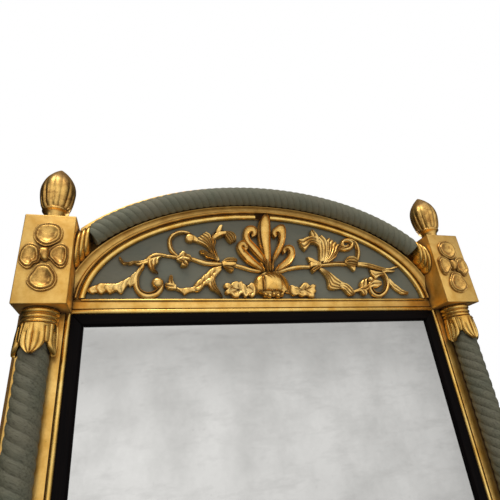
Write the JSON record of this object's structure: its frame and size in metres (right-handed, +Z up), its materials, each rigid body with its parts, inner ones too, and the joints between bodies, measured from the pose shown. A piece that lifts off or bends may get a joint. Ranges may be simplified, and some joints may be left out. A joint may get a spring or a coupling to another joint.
{
  "type": "trumeau mirror",
  "caption": "Tall wall mirror in a gilt and grey-green frame: rope-carved columns, corner blocks with finials, and a rope-carved arch over a painted lunette with carved foliage.",
  "frame": {"origin": "on the wall plane, on the mirror's centre line, at the height of the arch's springing centre, which is on the mid rail's back face", "axes": "+X across to the right as seen from the front, +Y into the wall, +Z up; the front faces -Y"},
  "size_m": [1.0026, 0.0963, 1.7218],
  "materials": {
    "gilt": "burnished gold leaf over red-brown bole on softwood mouldings",
    "carved_gilt": "gold leaf on carved and moulded ornament, brighter on the crests",
    "painted_wood": "grey-green casein paint, matt, lightly rubbed",
    "ebonised_wood": "black stain under a satin polish",
    "antiqued_mirror": "clouded, antiqued silvering with faint foxing",
    "backing_wood": "unfinished plywood",
    "bare_wood": "unfinished softwood",
    "plated_steel": "nickel-plated steel"
  },
  "bodies": {
    "frame": {"stile_right": "gilt", "stile_left": "gilt", "mid_rail": "gilt", "bottom_rail": "gilt", "arch_head": "gilt", "arch_cove": "gilt", "arch_bead_right": "gilt", "arch_bead_left": "gilt", "lunette_base_bead": "gilt", "sight_bead_right": "gilt", "sight_bead_left": "gilt", "sight_bead_top": "gilt", "sight_bead_bottom": "gilt", "capital_rings_right": "gilt", "capital_rings_left": "gilt", "column_base_right": "gilt", "column_base_left": "gilt", "upper_block_right": "gilt", "upper_block_left": "gilt", "lower_block_right": "gilt", "lower_block_left": "gilt", "rope_collar_right": "carved_gilt", "rope_collar_left": "carved_gilt", "capital_leaves_right": "carved_gilt", "capital_leaves_left": "carved_gilt", "upper_flower_right": "carved_gilt", "upper_flower_left": "carved_gilt", "lower_flower_right": "carved_gilt", "lower_flower_left": "carved_gilt", "finial_right": "carved_gilt", "finial_left": "carved_gilt", "palmette": "carved_gilt", "shell_cushion": "carved_gilt", "branch_right": "carved_gilt", "branch_left": "carved_gilt", "sprig_right": "carved_gilt", "sprig_left": "carved_gilt", "frieze_panel": "painted_wood", "lunette_panel": "painted_wood", "arch_rope": "painted_wood", "column_right": "painted_wood", "column_left": "painted_wood", "slip_right": "ebonised_wood", "slip_left": "ebonised_wood", "slip_top": "ebonised_wood", "slip_bottom": "ebonised_wood", "mirror_plate": "antiqued_mirror", "backboard": "backing_wood", "back_strip_right": "bare_wood", "back_strip_left": "bare_wood", "back_strip_top": "bare_wood", "back_strip_bottom": "bare_wood", "hanger_strap_right": "plated_steel", "hanger_screw_right_1": "plated_steel", "hanger_screw_right_2": "plated_steel", "hanger_strap_left": "plated_steel", "hanger_screw_left_1": "plated_steel", "hanger_screw_left_2": "plated_steel"},
    "ring_right": {"hanger_ring_right": "plated_steel"},
    "ring_left": {"hanger_ring_left": "plated_steel"}
  },
  "joints": [
    {"name": "ring_right_hinge", "type": "hinge", "parent": "frame", "child": "ring_right", "pos_m": [0.4585, -0.0041, -0.19], "axis": [1, 0, 0], "range_deg": [0, 180]},
    {"name": "ring_left_hinge", "type": "hinge", "parent": "frame", "child": "ring_left", "pos_m": [-0.4585, -0.0041, -0.19], "axis": [1, 0, 0], "range_deg": [0, 180]}
  ]
}
